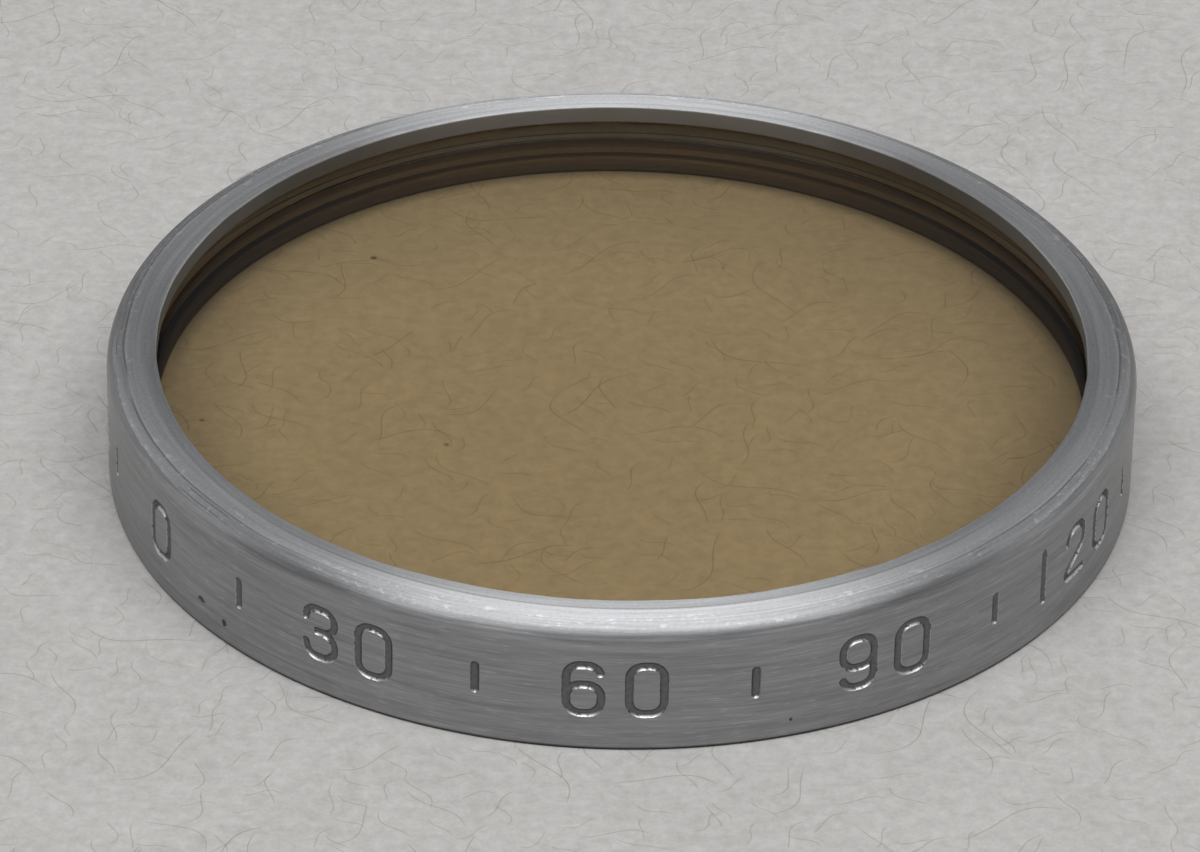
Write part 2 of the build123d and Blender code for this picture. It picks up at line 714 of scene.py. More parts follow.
def turned_by(tree, vector, angle):
    """A vector turned about the axis of the ring."""
    made = add_node(tree, "VectorRotate", {"Vector": vector, "Angle": angle}, rotation_type="Z_AXIS")
    return made.outputs[0]


def parts_of(tree, vector):
    return add_node(tree, "SeparateXYZ", {0: vector}).outputs


# %% Helpers for masks and colours
def ramp(tree, value, low, high):
    """A straight rise from nought at low to one at high."""
    return add_node(tree, "MapRange", {"Value": value, "From Min": low, "From Max": high}).outputs[0]


def step(tree, value, low, high):
    """A soft step from nought at low to one at high. It falls where high is below low."""
    ends = {"From Min": min(low, high), "From Max": max(low, high)}
    if high < low:
        ends.update({"To Min": 1.0, "To Max": 0.0})
    made = add_node(tree, "MapRange", {"Value": value, **ends}, interpolation_type="SMOOTHSTEP")
    return made.outputs[0]


def all_of(tree, *masks):
    """Several masks multiplied."""
    product = masks[0]
    for mask in masks[1:]:
        product = maths(tree, "MULTIPLY", product, mask)
    return product


def any_of(tree, *masks):
    """The strongest of several masks."""
    strongest = masks[0]
    for mask in masks[1:]:
        strongest = maths(tree, "MAXIMUM", strongest, mask)
    return strongest


def blend_values(tree, share, low, high):
    return add_node(tree, "MapRange", {"Value": share, "To Min": low, "To Max": high}).outputs[0]


def fade(tree, value, mask, amount):
    """A value that is cut to this amount of itself where the mask is one."""
    return maths(tree, "MULTIPLY", value, blend_values(tree, mask, 1.0, amount))


def blend_colours(tree, share, low, high):
    """A colour between two others. A plain colour is three numbers."""
    low, high = (value if isinstance(value, bpy.types.NodeSocket) else (*value, 1) for value in (low, high))
    return add_node(tree, "Mix", {0: share, 6: low, 7: high}, data_type="RGBA").outputs[2]


# %% Helpers that start and end a material
def noise(tree, vector, scale, detail):
    return add_node(tree, "TexNoise", {"Vector": vector, "Scale": scale, "Detail": detail}).outputs["Fac"]


def bumps(tree, height, strength, depth=0.01 * MM):
    made = add_node(tree, "Bump", {"Strength": strength, "Distance": depth, "Height": height})
    return made.outputs[0]


def new_material(name):
    material = bpy.data.materials.new(name)
    material.use_nodes = True
    material.node_tree.nodes.clear()
    return material, material.node_tree, add_node(material.node_tree, "TexCoord").outputs["Object"]


def surface(material, shader):
    """Joins a shader to the material's surface, and says how many nodes the material has."""
    tree = material.node_tree
    tree.links.new(shader.outputs[0], add_node(tree, "OutputMaterial").inputs["Surface"])
    print(material.name, "has", len(tree.nodes), "nodes")
    return material


# %% [markdown]
# ### Where a point is on the ring
#
# A turned surface is described best by three numbers. One is the place along the section, which runs outwards
# over the lip and then down the wall. The others say where on the circle the point is. They are the point's
# direction from the axis, as a pair, so that a pattern read from them closes on itself and shows no seam.


# %% Node group: place on the ring
def group_place():
    outputs = [("Across", "Float"), ("Radius", "Float"), ("Height", "Float"), ("Round", "Vector")]
    group, given, out = new_group("place on the ring", [("Vector", "Vector", None)], outputs)
    apart = parts_of(group, lengthen(group, given["Vector"], 1000.0))
    flat = add_node(group, "CombineXYZ", {0: apart[0], 1: apart[1]}).outputs[0]
    radius = length_of(group, flat)
    group.links.new(maths(group, "SUBTRACT", radius, apart[2]), out["Across"])
    group.links.new(radius, out["Radius"])
    group.links.new(apart[2], out["Height"])
    group.links.new(vectors(group, "NORMALIZE", flat), out["Round"])
    return group


PLACE = group_place()
print("group:", PLACE.name, "of", len(PLACE.nodes), "nodes")


def place_of(tree, vector):
    return add_node(tree, "Group", {"Vector": vector}, node_tree=PLACE).outputs


# %% [markdown]
# ### Marks that the work leaves
#
# Brushing, rolling and wiping all leave marks that run round the ring or straight across it. They are one
# pattern at different stretches: noise whose two directions are told apart. The metal, the engraving and the
# ground edge of the glass also share a fine grain, which is another group.

# %% Node group: marks drawn round or across the ring
MARK_INPUTS = [("Round", 10.0), ("Fine", 20.0), ("Detail", 2.0), ("Shift", 0.0)]


def group_marks():
    """Noise stretched along the ring or across it. Round is how often it changes per radian, Fine per mm."""
    inputs = [("Vector", "Vector", None)] + [(name, "Float", value) for name, value in MARK_INPUTS]
    group, given, out = new_group("drawn marks", inputs, [("Value", "Float")])
    place = place_of(group, given["Vector"])
    apart = parts_of(group, lengthen(group, place["Round"], given["Round"]))
    across = times_plus(group, place["Across"], given["Fine"], given["Shift"])
    where = add_node(group, "CombineXYZ", {0: apart[0], 1: apart[1], 2: across}).outputs[0]
    settings = {"Vector": where, "Scale": 1.0, "Detail": given["Detail"], "Roughness": 0.6}
    group.links.new(add_node(group, "TexNoise", settings).outputs["Fac"], out["Value"])
    return group


MARKS = group_marks()
print("group:", MARKS.name, "of", len(MARKS.nodes), "nodes")


def marks(tree, vector, around, fine, detail=2.0, shift=0.0):
    inputs = {"Vector": vector, "Round": around, "Fine": fine, "Detail": detail, "Shift": shift}
    return add_node(tree, "Group", inputs, node_tree=MARKS).outputs["Value"]


# %% Node group: fine grain
grain_per_metre = 9000.0


def group_grain():
    """The finest unevenness of a worked surface."""
    inputs = [("Vector", "Vector", None), ("Scale", "Float", grain_per_metre), ("Detail", "Float", 3.0)]
    group, given, out = new_group("fine grain", inputs, [("Grain", "Float")])
    group.links.new(noise(group, given["Vector"], given["Scale"], given["Detail"]), out["Grain"])
    return group


GRAIN = group_grain()
print("group:", GRAIN.name, "of", len(GRAIN.nodes), "nodes")


def fine_grain(tree, vector, scale=grain_per_metre, detail=3.0):
    inputs = {"Vector": vector, "Scale": scale, "Detail": detail}
    return add_node(tree, "Group", inputs, node_tree=GRAIN).outputs["Grain"]


# %% [markdown]
# ### Turned aluminium: where each finish lies
#
# The wall was brushed round and round, and the top of the lip was burnished by the roller. The two meet in a
# ragged line halfway down the shoulder. Places are given as the turner would: the distance from the axis, the
# height, or the place across the section, which is the first less the second, all in millimetres. A few masks
# follow the direction round the ring. They place painted shade and painted sheen where the lamp's light falls.

# %% Name the places on the section
brushed_from = (11.0, 11.08)
ridge_across = 10.545
land_inside = (13.99, 13.94)
edge_inside = (14.2, 14.1)
edge_below = (3.97, 3.9)
bore_inside = (14.5, 14.4)
bore_below = (3.45, 3.38)
# The foot of the wall below this height gets a painted contact shadow.
contact_shadow_below = (0.14, 0.07)
# Painted shade and sheen on the shoulder where it turns into the wall, up to this place across the section.
painted_shoulder_until = (11.38, 11.24)
# A painted sheen on the lower shoulder at the front lies between these places across the section.
sheen_from, sheen_until = (11.26, 11.38), (11.85, 11.6)


# %% Masks for the finishes of the rim
def rim_places(tree, vector):
    """The patterns and masks that the rim's finish is made of, each by its name."""
    place = place_of(tree, vector)
    radius, height, back = place["Radius"], place["Height"], parts_of(tree, place["Round"])[1]
    across = sway(tree, place["Across"], marks(tree, vector, 5.0, 0.4, 1.0, 17.0), 0.22)
    ragged = sway(tree, across, marks(tree, vector, 60.0, 8.0, 2.0, 53.0), 0.12)
    wall = step(tree, ragged, *brushed_from)
    worn = (step(tree, across, *sheen_from), step(tree, across, *sheen_until), step(tree, back, -0.5, -0.7))
    return SimpleNamespace(
        across=across,
        straight_across=place["Across"],
        radius=radius,
        back=back,
        wall=wall,
        top=maths(tree, "SUBTRACT", 1.0, wall),
        edge=all_of(tree, step(tree, radius, *edge_inside), step(tree, height, *edge_below)),
        bore=all_of(tree, step(tree, radius, *bore_inside), step(tree, height, *bore_below)),
        land=all_of(tree, step(tree, radius, *land_inside), step(tree, height, 3.85, 3.95)),
        foot=step(tree, height, *contact_shadow_below),
        # faces_front, faces_back and quarter follow the direction round the ring: they place painted shade and
        # painted sheen where the lamp's light falls.
        faces_front=step(tree, back, -0.55, -0.95),
        faces_back=step(tree, back, 0.3, 0.9),
        quarter=all_of(tree, step(tree, back, -0.5, -0.68), step(tree, back, -0.95, -0.75)),
        # The shoulder's painted shade and sheen: darkest straight in front, lighter at the front quarters.
        dull=all_of(tree, wall, step(tree, across, *painted_shoulder_until)),
        worn=all_of(tree, *worn),
    )


def rim_patterns(tree, vector):
    """Lines round the ring, fine and broad, short streaks across it, and the grain."""
    return SimpleNamespace(
        lines=marks(tree, vector, 9.0, 26.0, 2.0),
        bands=marks(tree, vector, 2.2, 7.0, 1.5, 31.0),
        broad=marks(tree, vector, 4.0, 5.0, 2.0, 7.0),
        streaks=marks(tree, vector, 150.0, 1.6, 1.0, 3.0),
        grain=fine_grain(tree, vector),
    )


# %% [markdown]
# ### Turned aluminium: what the roller and the years left
#
# The roller pressed fine dark lines along the shoulder, which come and go. Knocks left bright nicks, and a
# few dents in the wall. The small ones are noise cut off at a threshold, which costs nothing and never shows
# a pattern. The larger ones are listed one by one: the point is turned back to where the mark is the whole
# world, and its distance from there is measured with a stretched ruler.

# %% Lines that the roller pressed
# How far across the section each lies, how wide it is, and how much of the ring stays clear of it
PRESSED = ((10.61, 0.045, 0.36), (10.74, 0.04, 0.5), (10.86, 0.035, 0.52), (10.98, 0.04, 0.46))


def pressed_lines(tree, vector, across):
    breaks = (marks(tree, vector, 3.5, 0.0, 2.0, 43.0), marks(tree, vector, 4.5, 0.0, 2.0, 52.0))
    found = []
    for number, (where, wide, clear) in enumerate(PRESSED):
        line = step(tree, distance_from(tree, across, where), wide, wide * 0.3)
        found.append(all_of(tree, line, step(tree, breaks[number % 2], clear, clear + 0.12)))
    return any_of(tree, *found)


# %% Bright nicks on the lip
# Where round the ring in degrees, at which radius, how long across the lip and along it in mm
NICKS = (
    (-163.4, 13.82, 0.3, 0.03),
    (-165.3, 14.06, 0.16, 0.04),
    (-16.7, 13.72, 0.14, 0.1),
    (-17.4, 14.3, 0.5, 0.025),
    (-47.0, 14.35, 0.12, 0.07),
    (-54.3, 14.72, 0.1, 0.24),
    (-56.4, 14.6, 0.08, 0.12),
    (-121.7, 14.5, 0.2, 0.18),
    (-128.8, 14.2, 0.06, 0.1),
    (-156.0, 14.0, 0.08, 0.1),
    (72.0, 14.2, 0.3, 0.04),
)


def stretched_distance(tree, vector, angle, at, stretch):
    """How far a point is from a mark at this angle round the ring, by a ruler stretched to fit the mark."""
    moved = vectors(tree, "SUBTRACT", turned_by(tree, vector, radians(-angle)), at)
    return length_of(tree, vectors(tree, "MULTIPLY", moved, stretch))


def nick_marks(tree, vector):
    above = vectors(tree, "MULTIPLY", vector, (1, 1, 0))
    found = []
    for angle, radius, deep, wide in NICKS:
        stretch = (2 / (deep * MM), 2 / (wide * MM), 0)
        away = stretched_distance(tree, above, angle, (radius * MM, 0, 0), stretch)
        found.append(step(tree, away, 1.1, 0.5))
    broken = step(tree, fine_grain(tree, vector, 14000.0, 2.0), 0.35, 0.55)
    on_top = step(tree, place_of(tree, vector)["Height"], 3.6, 3.7)
    return all_of(tree, any_of(tree, *found), broken, on_top)


# %% Dents in the wall
# Where round the ring in degrees, how high, how wide and how tall in mm
DENTS = (
    (-141.5, 0.95, 0.34, 0.15),
    (-137.5, 0.7, 0.2, 0.22),
    (-71.0, 0.62, 0.14, 0.1),
    (38.0, 2.1, 0.2, 0.16),
    (117.0, 0.8, 0.3, 0.14),
    (164.0, 1.5, 0.16, 0.12),
)


def dent_marks(tree, vector):
    """A mask of a few small dents. A noise moves the point a little first, which makes their edges ragged."""
    settings = {"Vector": vector, "Scale": 7000.0, "Detail": 3.0}
    shake = vectors(tree, "SUBTRACT", add_node(tree, "TexNoise", settings).outputs["Color"], (0.5, 0.5, 0.5))
    ragged = vectors(tree, "MULTIPLY_ADD", shake, (0.2 * MM, 0.2 * MM, 0.2 * MM), vector)
    found = []
    for angle, height, wide, tall in DENTS:
        stretch = (1500.0, 2 / (wide * MM), 2 / (tall * MM))
        away = stretched_distance(tree, ragged, angle, (rim_radius, 0, height * MM), stretch)
        found.append(step(tree, away, 1.25, 0.75))
    return any_of(tree, *found)


# %% Scuffs on the lip
def scuff_marks(tree, vector, places):
    """Small bright nicks in patches, a few larger blots, and the nicks that are listed."""
    patch = step(tree, marks(tree, vector, 3.0, 2.0, 1.0, 11.0), 0.48, 0.6)
    nicks = step(tree, marks(tree, vector, 90.0, 9.0, 2.0, 5.0), 0.56, 0.66)
    blots = step(tree, marks(tree, vector, 34.0, 3.4, 2.0, 23.0), 0.6, 0.68)
    small = any_of(tree, all_of(tree, patch, nicks), blots)
    small = all_of(tree, small, places.top, step(tree, places.across, 10.2, 10.5))
    return any_of(tree, small, nick_marks(tree, vector))


# %% [markdown]
# ### Turned aluminium: its shade, gloss and relief
#
# The metal's shade is how much light it gives back, from nought to one. Each part of the section has its own:
# the burnished top is pale and nearly even, the brushed wall is darker and streaked, the lip's edge is dark
# with a painted warm tint of amber light, the foot has a painted contact shadow, and the dents hold dirt.
# Shades are laid over each other as a painter would, from the broad to the small. A fade darkens what is
# there already, so that the lines below still show. The fades that follow the direction round the ring are
# painted shade and painted sheen.


# %% Shade of the burnished top
def shade_top(tree, vector, places, patterns):
    both = times_plus(tree, patterns.bands, 0.4, maths(tree, "MULTIPLY", patterns.lines, 0.3))
    both = times_plus(tree, patterns.grain, 0.3, both)
    shade = blend_values(tree, step(tree, both, 0.25, 0.75), 0.62, 0.88)
    scored = step(tree, distance_from(tree, places.radius, score_radius / MM), 0.05, 0.02)
    # Fades that follow faces_front and faces_back are painted shade by where the lamp's light falls: the top
    # is darker at the back, and at the front it is darker below the highlight, on the land and in the score,
    # while the pressed lines are fainter there.
    fades = (
        (step(tree, places.across, 10.5, 10.8), 0.8),
        (step(tree, places.across, 10.84, 11.06), blend_values(tree, places.faces_front, 1.0, 0.7)),
        (places.land, blend_values(tree, places.faces_front, 0.9, 0.8)),
        (scored, blend_values(tree, places.faces_front, 0.92, 0.7)),
        (pressed_lines(tree, vector, places.across), blend_values(tree, places.faces_front, 0.62, 0.9)),
        (places.faces_back, 0.86),
    )
    for mask, amount in fades:
        shade = fade(tree, shade, mask, amount)
    ridge = step(tree, distance_from(tree, places.straight_across, ridge_across), 0.035, 0.01)
    return times_plus(tree, ridge, 0.1, shade)


# %% Shade of the brushed wall
def shade_wall(tree, vector, places, patterns):
    both = times_plus(tree, patterns.broad, 0.5, maths(tree, "MULTIPLY", patterns.lines, 0.5))
    scratches = step(tree, marks(tree, vector, 26.0, 34.0, 1.0, 61.0), 0.62, 0.74)
    return times_plus(tree, all_of(tree, scratches, places.wall), 0.13, blend_values(tree, both, 0.12, 0.55))


# %% Shade of the whole rim
def shade_rim(tree, vector, places, patterns, dents):
    top = shade_top(tree, vector, places, patterns)
    shade = blend_values(tree, places.wall, top, shade_wall(tree, vector, places, patterns))
    # Painted shade on the shoulder where it meets the wall: darkest straight in front, a little darker
    # elsewhere, and a painted sheen at the front quarters.
    shoulder_shade = blend_values(tree, step(tree, places.back, -0.75, -0.97), 0.8, 0.48)
    shade = fade(tree, shade, places.dull, blend_values(tree, places.quarter, shoulder_shade, 1.3))
    # A painted sheen on the lower shoulder at the front.
    shade = fade(tree, shade, places.worn, 1.12)
    shade = blend_values(tree, places.edge, shade, 0.18)
    # A painted contact shadow along the foot of the wall.
    shade = fade(tree, shade, places.foot, 0.3)
    shade = fade(tree, shade, dents, 0.25)
    return times_plus(tree, scuff_marks(tree, vector, places), 0.16, shade)


# %% Material: turned aluminium
METAL_WHITE = (0.99, 1.0, 1.025)
EDGE_DARK_AMBER_LIT = (0.19, 0.172, 0.145)
BORE_BLACK_AMBER_LIT = (0.058, 0.043, 0.026)


def metal_roughness(tree, places, patterns):
    rough = maths(tree, "SUBTRACT", blend_values(tree, places.wall, 0.54, 0.32), 0.05)
    return times_plus(tree, places.bore, 0.3, times_plus(tree, patterns.broad, 0.1, rough))


def metal_relief(tree, places, patterns, dents):
    """Lines everywhere, softer on the lip, where grain and short streaks join them."""
    lip = step(tree, places.straight_across, 11.1, 10.98)
    drawn = times_plus(tree, patterns.bands, 0.5, patterns.lines)
    height = maths(tree, "MULTIPLY", drawn, blend_values(tree, lip, 1.0, 0.6))
    height = times_plus(tree, times_plus(tree, patterns.grain, 1.2, patterns.streaks), lip, height)
    return times_plus(tree, dents, -4.0, height)


def make_aluminium():
    """Brushed metal is anisotropic: it spreads a reflection across its scratches and hardly along them."""
    material, tree, vector = new_material("turned_aluminium")
    places, patterns, dents = rim_places(tree, vector), rim_patterns(tree, vector), dent_marks(tree, vector)
    shade = shade_rim(tree, vector, places, patterns, dents)
    colour = blend_colours(tree, shade, (0, 0, 0), METAL_WHITE)
    # The lip's edge is dark, with a painted warm tint that stands in for amber light from the glass beside it.
    colour = blend_colours(tree, maths(tree, "MULTIPLY", places.edge, 0.6), colour, EDGE_DARK_AMBER_LIT)
    settings = {
        # The bore is near black; its brown tint is painted amber light that reaches it through the film.
        "Base Color": blend_colours(tree, places.bore, colour, BORE_BLACK_AMBER_LIT),
        "Metallic": 1.0,
        "Roughness": metal_roughness(tree, places, patterns),
        "Specular Tint": (0.85, 0.85, 0.85, 1),
        "Anisotropic": 0.85,
        "Anisotropic Rotation": 0.25,
        "Tangent": add_node(tree, "Tangent", direction_type="RADIAL", axis="Z").outputs[0],
        "Normal": bumps(tree, metal_relief(tree, places, patterns, dents), 0.24),
    }
    return surface(material, add_node(tree, "BsdfPrincipled", settings))


aluminium = make_aluminium()

# %% [markdown]
# ### The engraving
#
# A cutter leaves a bright groove, but here the groove is dark. It stays bright at its rim, and the parts of
# its floor that face up are lighter too, as a painted highlight of the light from above. The mask for that
# reads the surface's own normal and the distance from the axis, and the grain breaks it up.

# %% Material: engraved groove
GROOVE_DARK = ((0.11, 0.11, 0.117), (0.26, 0.26, 0.27))
GROOVE_BARE_AND_LIT = (0.6, 0.605, 0.61)
groove_mouth = (15.07, 15.1)


def make_groove():
    material, tree, vector = new_material("engraved_groove")
    grain = fine_grain(tree, vector)
    faces_up = parts_of(tree, add_node(tree, "NewGeometry").outputs["Normal"])[2]
    mouth = step(tree, place_of(tree, vector)["Radius"], *groove_mouth)
    # Bare metal at the mouth of the groove; where the groove faces up it is a painted highlight of the light
    # from above.
    bare_or_lit = all_of(tree, any_of(tree, step(tree, faces_up, 0.3, 0.6), mouth), step(tree, grain, 0.35, 0.5))
    settings = {
        "Base Color": blend_colours(tree, bare_or_lit, blend_colours(tree, grain, *GROOVE_DARK), GROOVE_BARE_AND_LIT),
        "Metallic": 1.0,
        "Roughness": blend_values(tree, grain, 0.35, 0.55),
        "Specular Tint": (0.5, 0.5, 0.5, 1),
        "Normal": bumps(tree, grain, 0.4),
    }
    return surface(material, add_node(tree, "BsdfPrincipled", settings))


groove = make_groove()

# %% [markdown]
# ### The three finishes of the glass
#
# The polished face is real glass: it bends and mirrors light, with a faint smear in its gloss and a few
# specks of dust. A path tracer finds the lamp through such a face only by chance, which would leave the paper
# under it dark and noisy. For shadow rays alone the face is therefore a clear filter, and the lamp lights the
# paper through it. The cemented face is plain transparent, because cement and glass bend light alike. The
# ground edge is matt, and its dark brown is painted shade, as it lies in the shade of the lip and gets only
# amber light. A painted shadow makes it darkest in the corner under the lip.

# %% Material: polished face of the glass
SPECK = (0.3, 0.28, 0.25)
CLEAR_GLASS = (0.985, 0.99, 0.985)
GLASS_SHADOW = (0.96, 0.96, 0.96, 1)
specks_per_metre = 420.0


def make_polished():
    material, tree, vector = new_material("polished_glass")
    specks = add_node(tree, "TexVoronoi", {"Vector": vector, "Scale": specks_per_metre}).outputs
    chance = add_node(tree, "SeparateColor", {0: specks["Color"]}).outputs[0]
    dust = all_of(tree, step(tree, specks["Distance"], 0.055, 0.03), step(tree, chance, 0.7, 0.72))
    smear = blend_values(tree, noise(tree, vector, 240.0, 4.0), 0.0, 0.008)
    settings = {
        "Base Color": blend_colours(tree, dust, CLEAR_GLASS, SPECK),
        "Roughness": times_plus(tree, dust, 0.5, smear),
        "IOR": 1.52,
        "Transmission Weight": 1.0,
    }
    glass = add_node(tree, "BsdfPrincipled", settings)
    clear = add_node(tree, "BsdfTransparent", {"Color": GLASS_SHADOW})
    in_shadow = add_node(tree, "LightPath").outputs["Is Shadow Ray"]
    mix = add_node(tree, "MixShader", {0: in_shadow, 1: glass.outputs[0], 2: clear.outputs[0]})
    return surface(material, mix)


polished = make_polished()


# %% Material: cemented face and ground edge
# Painted shade: dark brown, as the ground edge lies in the shade of the lip.
GROUND_IN_SHADE = ((0.04, 0.03, 0.017), (0.1, 0.076, 0.044))
GROUND_CORNER_SHADOW = (0.012, 0.008, 0.004)


def make_cemented():
    material, tree, vector = new_material("cemented_face")
    return surface(material, add_node(tree, "BsdfTransparent", {"Color": (1, 1, 1, 1)}))


def make_ground():
    material, tree, vector = new_material("ground_edge")
    grain = fine_grain(tree, vector, detail=2.0)
    # A painted shadow in the corner under the lip, above this height.
    corner_shade = maths(tree, "MULTIPLY", step(tree, place_of(tree, vector)["Height"], 3.1, 3.2), 0.6)
    settings = {
        "Base Color": blend_colours(tree, corner_shade, blend_colours(tree, grain, *GROUND_IN_SHADE), GROUND_CORNER_SHADOW),
        "Roughness": 0.6,
        "Normal": bumps(tree, grain, 0.5, 0.02 * MM),
    }
    return surface(material, add_node(tree, "BsdfPrincipled", settings))


cemented, ground = make_cemented(), make_ground()

# %% [markdown]
# ### The dyed film
#
# The film only filters light, so it is a tinted transparent surface. Light from the lamp passes it on the way
# to the paper and again on the way back, and each time through two faces of the disc. The tint therefore acts
# four times, and its number is the fourth root of what is seen. The dye is a little cloudy. The film also
# carries painted shade: it is darker towards the far right, for the far wall's shadow on the paper, and
# darkest round the edge, for the shadow of the seat and wall beside it.

# %% Material: amber film
AMBER = ((0.947, 0.88, 0.748), (0.957, 0.892, 0.764))
FAR_SHADE = (0.884, 0.823, 0.703)
FILM_EDGE_SHADE = (0.5, 0.43, 0.34)
far_shade_offset = (1.0 * MM, 3.0 * MM, 0)
far_shade_from, far_shade_to = 9.5, 16.5
edge_shade_from, edge_shade_to = 13.3, 14.0


def make_film():
    material, tree, vector = new_material("amber_film")
    tint = blend_colours(tree, noise(tree, vector, 160.0, 2.0), *AMBER)
    off_centre = place_of(tree, vectors(tree, "ADD", vector, far_shade_offset))["Radius"]
    # Painted shade: darker towards the far right, for the far wall's shadow on the paper below.
    tint = blend_colours(tree, ramp(tree, off_centre, far_shade_from, far_shade_to), tint, FAR_SHADE)
    edge = step(tree, place_of(tree, vector)["Radius"], edge_shade_from, edge_shade_to)
    # Painted shade round the edge, for the shadow of the seat and wall on the paper beside them.
    tint = blend_colours(tree, edge, tint, FILM_EDGE_SHADE)
    return surface(material, add_node(tree, "BsdfTransparent", {"Color": tint}))


amber = make_film()

# %% [markdown]
# ### The paper
#
# The filter lies on a sheet of pale paper with a felted grain and a few fibres in it. It is part of the
# stage, but much of it is seen through the glass, so it gets a finish too. A fibre is a short bent line in
# one cell of a pattern of cells, turned at random by the cell's own colour, and some cells stay empty.
#
# The shadow rule of the polished glass has one fault: at the far side, real glass and its ground edge keep
# some light from the paper beside the ring, and a plain filter doesn't. The paper is darkened there instead,
# in a narrow arc under the glass.

# %% Fibres in the paper
# How many cells lie along a metre, and how dark their fibres are
FIBRES = ((260.0, 0.42), (370.0, 0.38), (560.0, 0.36), (840.0, 0.32))
FIBRE_BROWN = (0.16, 0.13, 0.1)
fibre_width = 0.03 * MM
fibre_wave, waves_per_cell = 0.05, 7.0


def fibre_marks(tree, vector, scale):
    """One short bent hair in each cell of a pattern, turned at random. Some cells have none."""
    moved = vectors(tree, "ADD", vector, (scale * MM, -scale * MM, 0))
    cell = add_node(tree, "TexVoronoi", {"Vector": moved, "Scale": scale}, voronoi_dimensions="2D").outputs
    chance = add_node(tree, "SeparateColor", {0: cell["Color"]}).outputs
    local = lengthen(tree, vectors(tree, "SUBTRACT", moved, cell["Position"]), scale)
    apart = parts_of(tree, turned_by(tree, local, maths(tree, "MULTIPLY", chance[0], 2 * pi)))
    bend = times_plus(tree, chance[1], 2.4, -1.2)
    wave = maths(tree, "SINE", maths(tree, "MULTIPLY", apart[0], waves_per_cell))
    bent = times_plus(
        tree, maths(tree, "MULTIPLY", apart[0], apart[0]), bend, maths(tree, "MULTIPLY", wave, fibre_wave)
    )
    wide = fibre_width * scale
    hair_line = step(tree, maths(tree, "ABSOLUTE", maths(tree, "SUBTRACT", bent, apart[1])), wide, wide * 0.2)
    ends = step(tree, maths(tree, "ABSOLUTE", apart[0]), 0.5, 0.3)
    return all_of(tree, hair_line, ends, step(tree, chance[2], 0.45, 0.5))


# %% Material: pale paper
PAPER = ((0.4, 0.388, 0.375), (0.575, 0.563, 0.55))
PAPER_SHADE = (0.02, 0.017, 0.014)
shade_from, shade_to = (13.05, 13.9), (14.8, 14.2)


def make_paper():
    material, tree, vector = new_material("pale_paper")
    settings = {"Vector": vector, "Scale": 2000.0, "Detail": 3.0, "Roughness": 0.8}
    grain = add_node(tree, "TexNoise", settings).outputs["Fac"]
    mottle = maths(tree, "MULTIPLY", noise(tree, vector, 350.0, 2.0), 0.2)
    felted = ramp(tree, times_plus(tree, grain, 0.8, mottle), 0.25, 0.75)
    colour = blend_colours(tree, felted, *PAPER)
    for scale, depth in FIBRES:
        share = maths(tree, "MULTIPLY", fibre_marks(tree, vector, scale), depth)
        colour = blend_colours(tree, share, colour, FIBRE_BROWN)
    place = place_of(tree, vector)
    behind = step(tree, parts_of(tree, place["Round"])[1], -0.05, 0.4)
    arc = (step(tree, place["Radius"], *shade_from), step(tree, place["Radius"], *shade_to), behind)
    shaded = maths(tree, "MULTIPLY", all_of(tree, *arc), 0.72)
    settings = {
        "Base Color": blend_colours(tree, shaded, colour, PAPER_SHADE),
        "Roughness": 0.9,
        "Specular IOR Level": 0.1,
    }
    return surface(material, add_node(tree, "BsdfPrincipled", settings))


paper = make_paper()

# %% [markdown]
# ### Which face has which finish
#
# A boolean gives the faces it cuts no name, but they are easy to tell: only a groove has faces in the wall,
# between the bore and the outside. Of a disc's faces, the two large ones have many corners, and lie at a
# known height. All the rest are the ground edge.

# %% Give each face its finish
groove_inside = rim_radius - 0.0012 * MM
groove_outside = bore_radius + 0.1 * MM
groove_low, groove_high = 1.0 * MM, 3.1 * MM


def set_materials(piece, *materials):
    piece.data.materials.clear()
    for material in materials:
        piece.data.materials.append(material)


def finish_rim(piece):
    set_materials(piece, aluminium, groove)
    count = 0
    for face in piece.data.polygons:
        radius = hypot(face.center.x, face.center.y)
        cut = groove_outside < radius < groove_inside and groove_low < face.center.z < groove_high
        face.material_index = 1 if cut else 0
        count += cut
    return count


def finish_glass(piece, outer, inner):
    set_materials(piece, polished, cemented, ground)
    for face in piece.data.polygons:
        large = len(face.vertices) > 4
        face.material_index = 0 if large and near(face.center.z, outer) else 2
        if large and near(face.center.z, inner):
            face.material_index = 1


print("groove faces:", finish_rim(rim))
finish_glass(front, lip_underside, film_high)
finish_glass(rear, seat_top, film_low)
set_materials(film, amber)
print("finishes of the glass:", [material.name for material in front.data.materials])

# %% [markdown]
# ## The floor and the light
#
# The filter lies under one large soft lamp. The picture shows where that lamp is: the paper is darkest in a
# narrow band beside the left and right of the ring and has no shadow in front, so the light comes from above,
# a little from the camera's side. The world is dim, and fills what the lamp doesn't reach.

# %% Lay the paper
bpy.ops.mesh.primitive_plane_add(size=4, location=(0, 0, 0))
floor = bpy.context.active_object
floor.name = "paper_floor"
floor.data.materials.append(paper)
print("floor:", floor.name, "with", floor.data.materials[0].name)

# %% Hang the lamp
lamp_distance = 1.2
lamp_width = 1.7
lamp_depth = 0.75
lamp_power = 15.9
lamp_lean = (0.01, -0.32, 0.95)


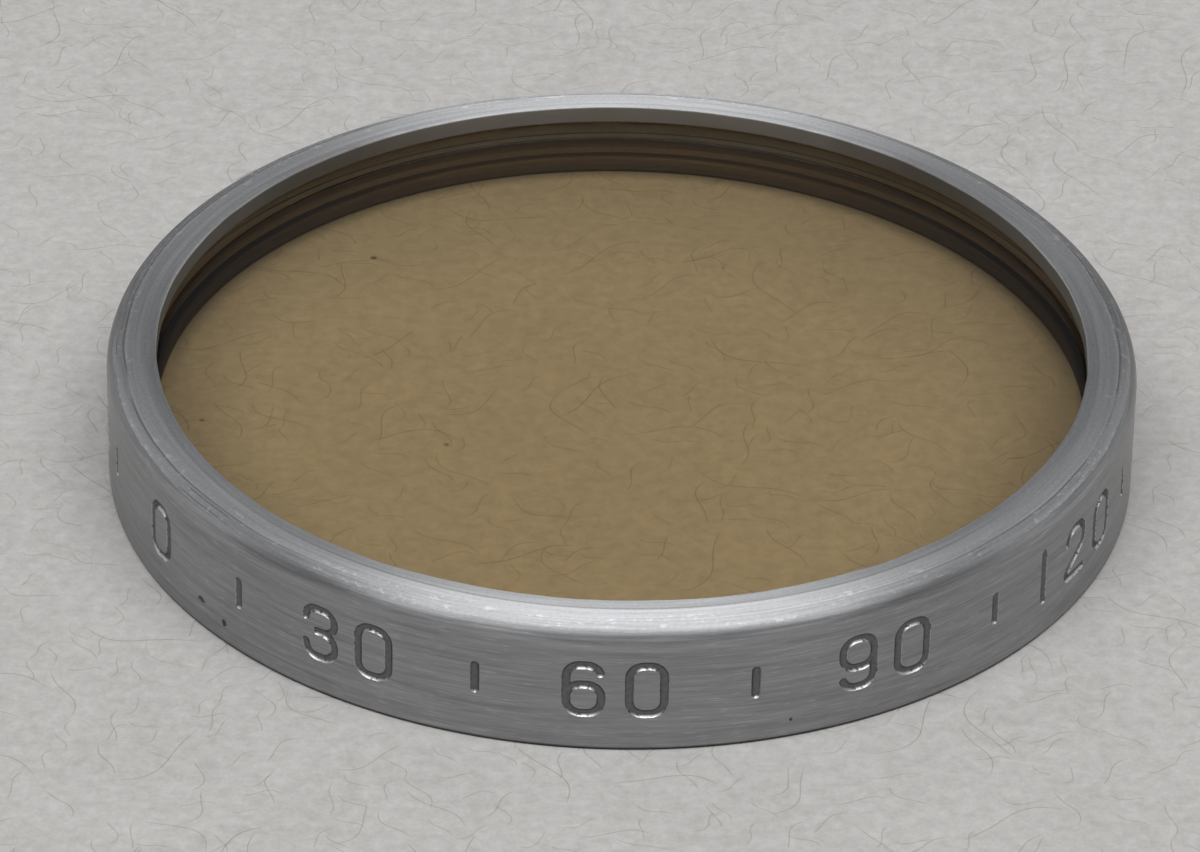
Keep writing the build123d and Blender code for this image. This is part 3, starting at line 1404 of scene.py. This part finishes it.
def hang_lamp():
    data = bpy.data.lights.new("soft_box", "AREA")
    data.shape = "RECTANGLE"
    data.size = lamp_width
    data.size_y = lamp_depth
    data.energy = lamp_power
    lamp = bpy.data.objects.new("soft_box", data)
    bpy.context.scene.collection.objects.link(lamp)
    towards = Vector(lamp_lean).normalized()
    lamp.location = towards * lamp_distance
    lamp.rotation_euler = towards.to_track_quat("Z", "Y").to_euler()
    return lamp


print("lamp at", [round(part, 2) for part in hang_lamp().location], "m")

# %% [markdown]
# ### The room
#
# What the metal mirrors matters as much as the lamp. The room is brighter low down than high up, and glows at
# the left and right, as pale walls beside a table would. Straight behind it is dark, because the glass mirrors
# that part, and its amber shows best with little light over it. The camera itself sees a plain pale backdrop.

# %% Light the room
low_room = 0.26
high_room = 0.14
side_glow = 0.45
behind_room = 0.12
BACKDROP = (0.62, 0.62, 0.62, 1)


def make_world():
    world = bpy.data.worlds.new("dim_room")
    bpy.context.scene.world = world
    world.use_nodes = True
    tree = world.node_tree
    tree.nodes.clear()
    apart = parts_of(tree, add_node(tree, "TexCoord").outputs["Generated"])
    heights = {"Value": apart[2], "From Min": 0.1, "From Max": 0.45, "To Min": low_room, "To Max": high_room}
    base = add_node(tree, "MapRange", heights).outputs[0]
    side = step(tree, maths(tree, "ABSOLUTE", apart[0]), 0.2, 0.6)
    glow = maths(tree, "MULTIPLY", side, step(tree, apart[1], -0.2, 0.3))
    level = times_plus(tree, glow, side_glow, base)
    behind = maths(tree, "MULTIPLY", step(tree, apart[1], 0.6, 0.78), maths(tree, "SUBTRACT", 1.0, side))
    strength = blend_values(tree, behind, level, behind_room)
    lit = add_node(tree, "Background", {"Color": (1, 1, 1, 1), "Strength": strength})
    pale = add_node(tree, "Background", {"Color": BACKDROP})
    seen = add_node(tree, "LightPath").outputs["Is Camera Ray"]
    mix = add_node(tree, "MixShader", {0: seen, 1: lit.outputs[0], 2: pale.outputs[0]})
    tree.links.new(mix.outputs[0], add_node(tree, "OutputWorld").inputs["Surface"])
    return world


print("world of", len(make_world().node_tree.nodes), "nodes")

# %% Set how light is traced
# The film and its cement are many transparent faces, one behind the other, and each counts as a bounce.
scene = bpy.context.scene
scene.view_settings.view_transform = "Standard"
scene.cycles.transparent_max_bounces = 24
scene.cycles.caustics_refractive = False
print("faces that light may pass:", scene.cycles.transparent_max_bounces)

# %% [markdown]
# ## Into the library
#
# Nothing on the filter moves, so every piece rides on the one body. Each stands for the solid of the same
# name in the frame, which is hidden, and the list names a slot of the record beside it.

# %% Ride on the body
pieces = (
    (rim, "rim", "rim"),
    (front, "front_glass", "glass"),
    (film, "gelatin_film", "film"),
    (rear, "rear_glass", "glass"),
)
for piece, node_name, slot in pieces:
    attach(piece, "root")
    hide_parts(node_name)
    print(piece.name, "replaces", node_name)
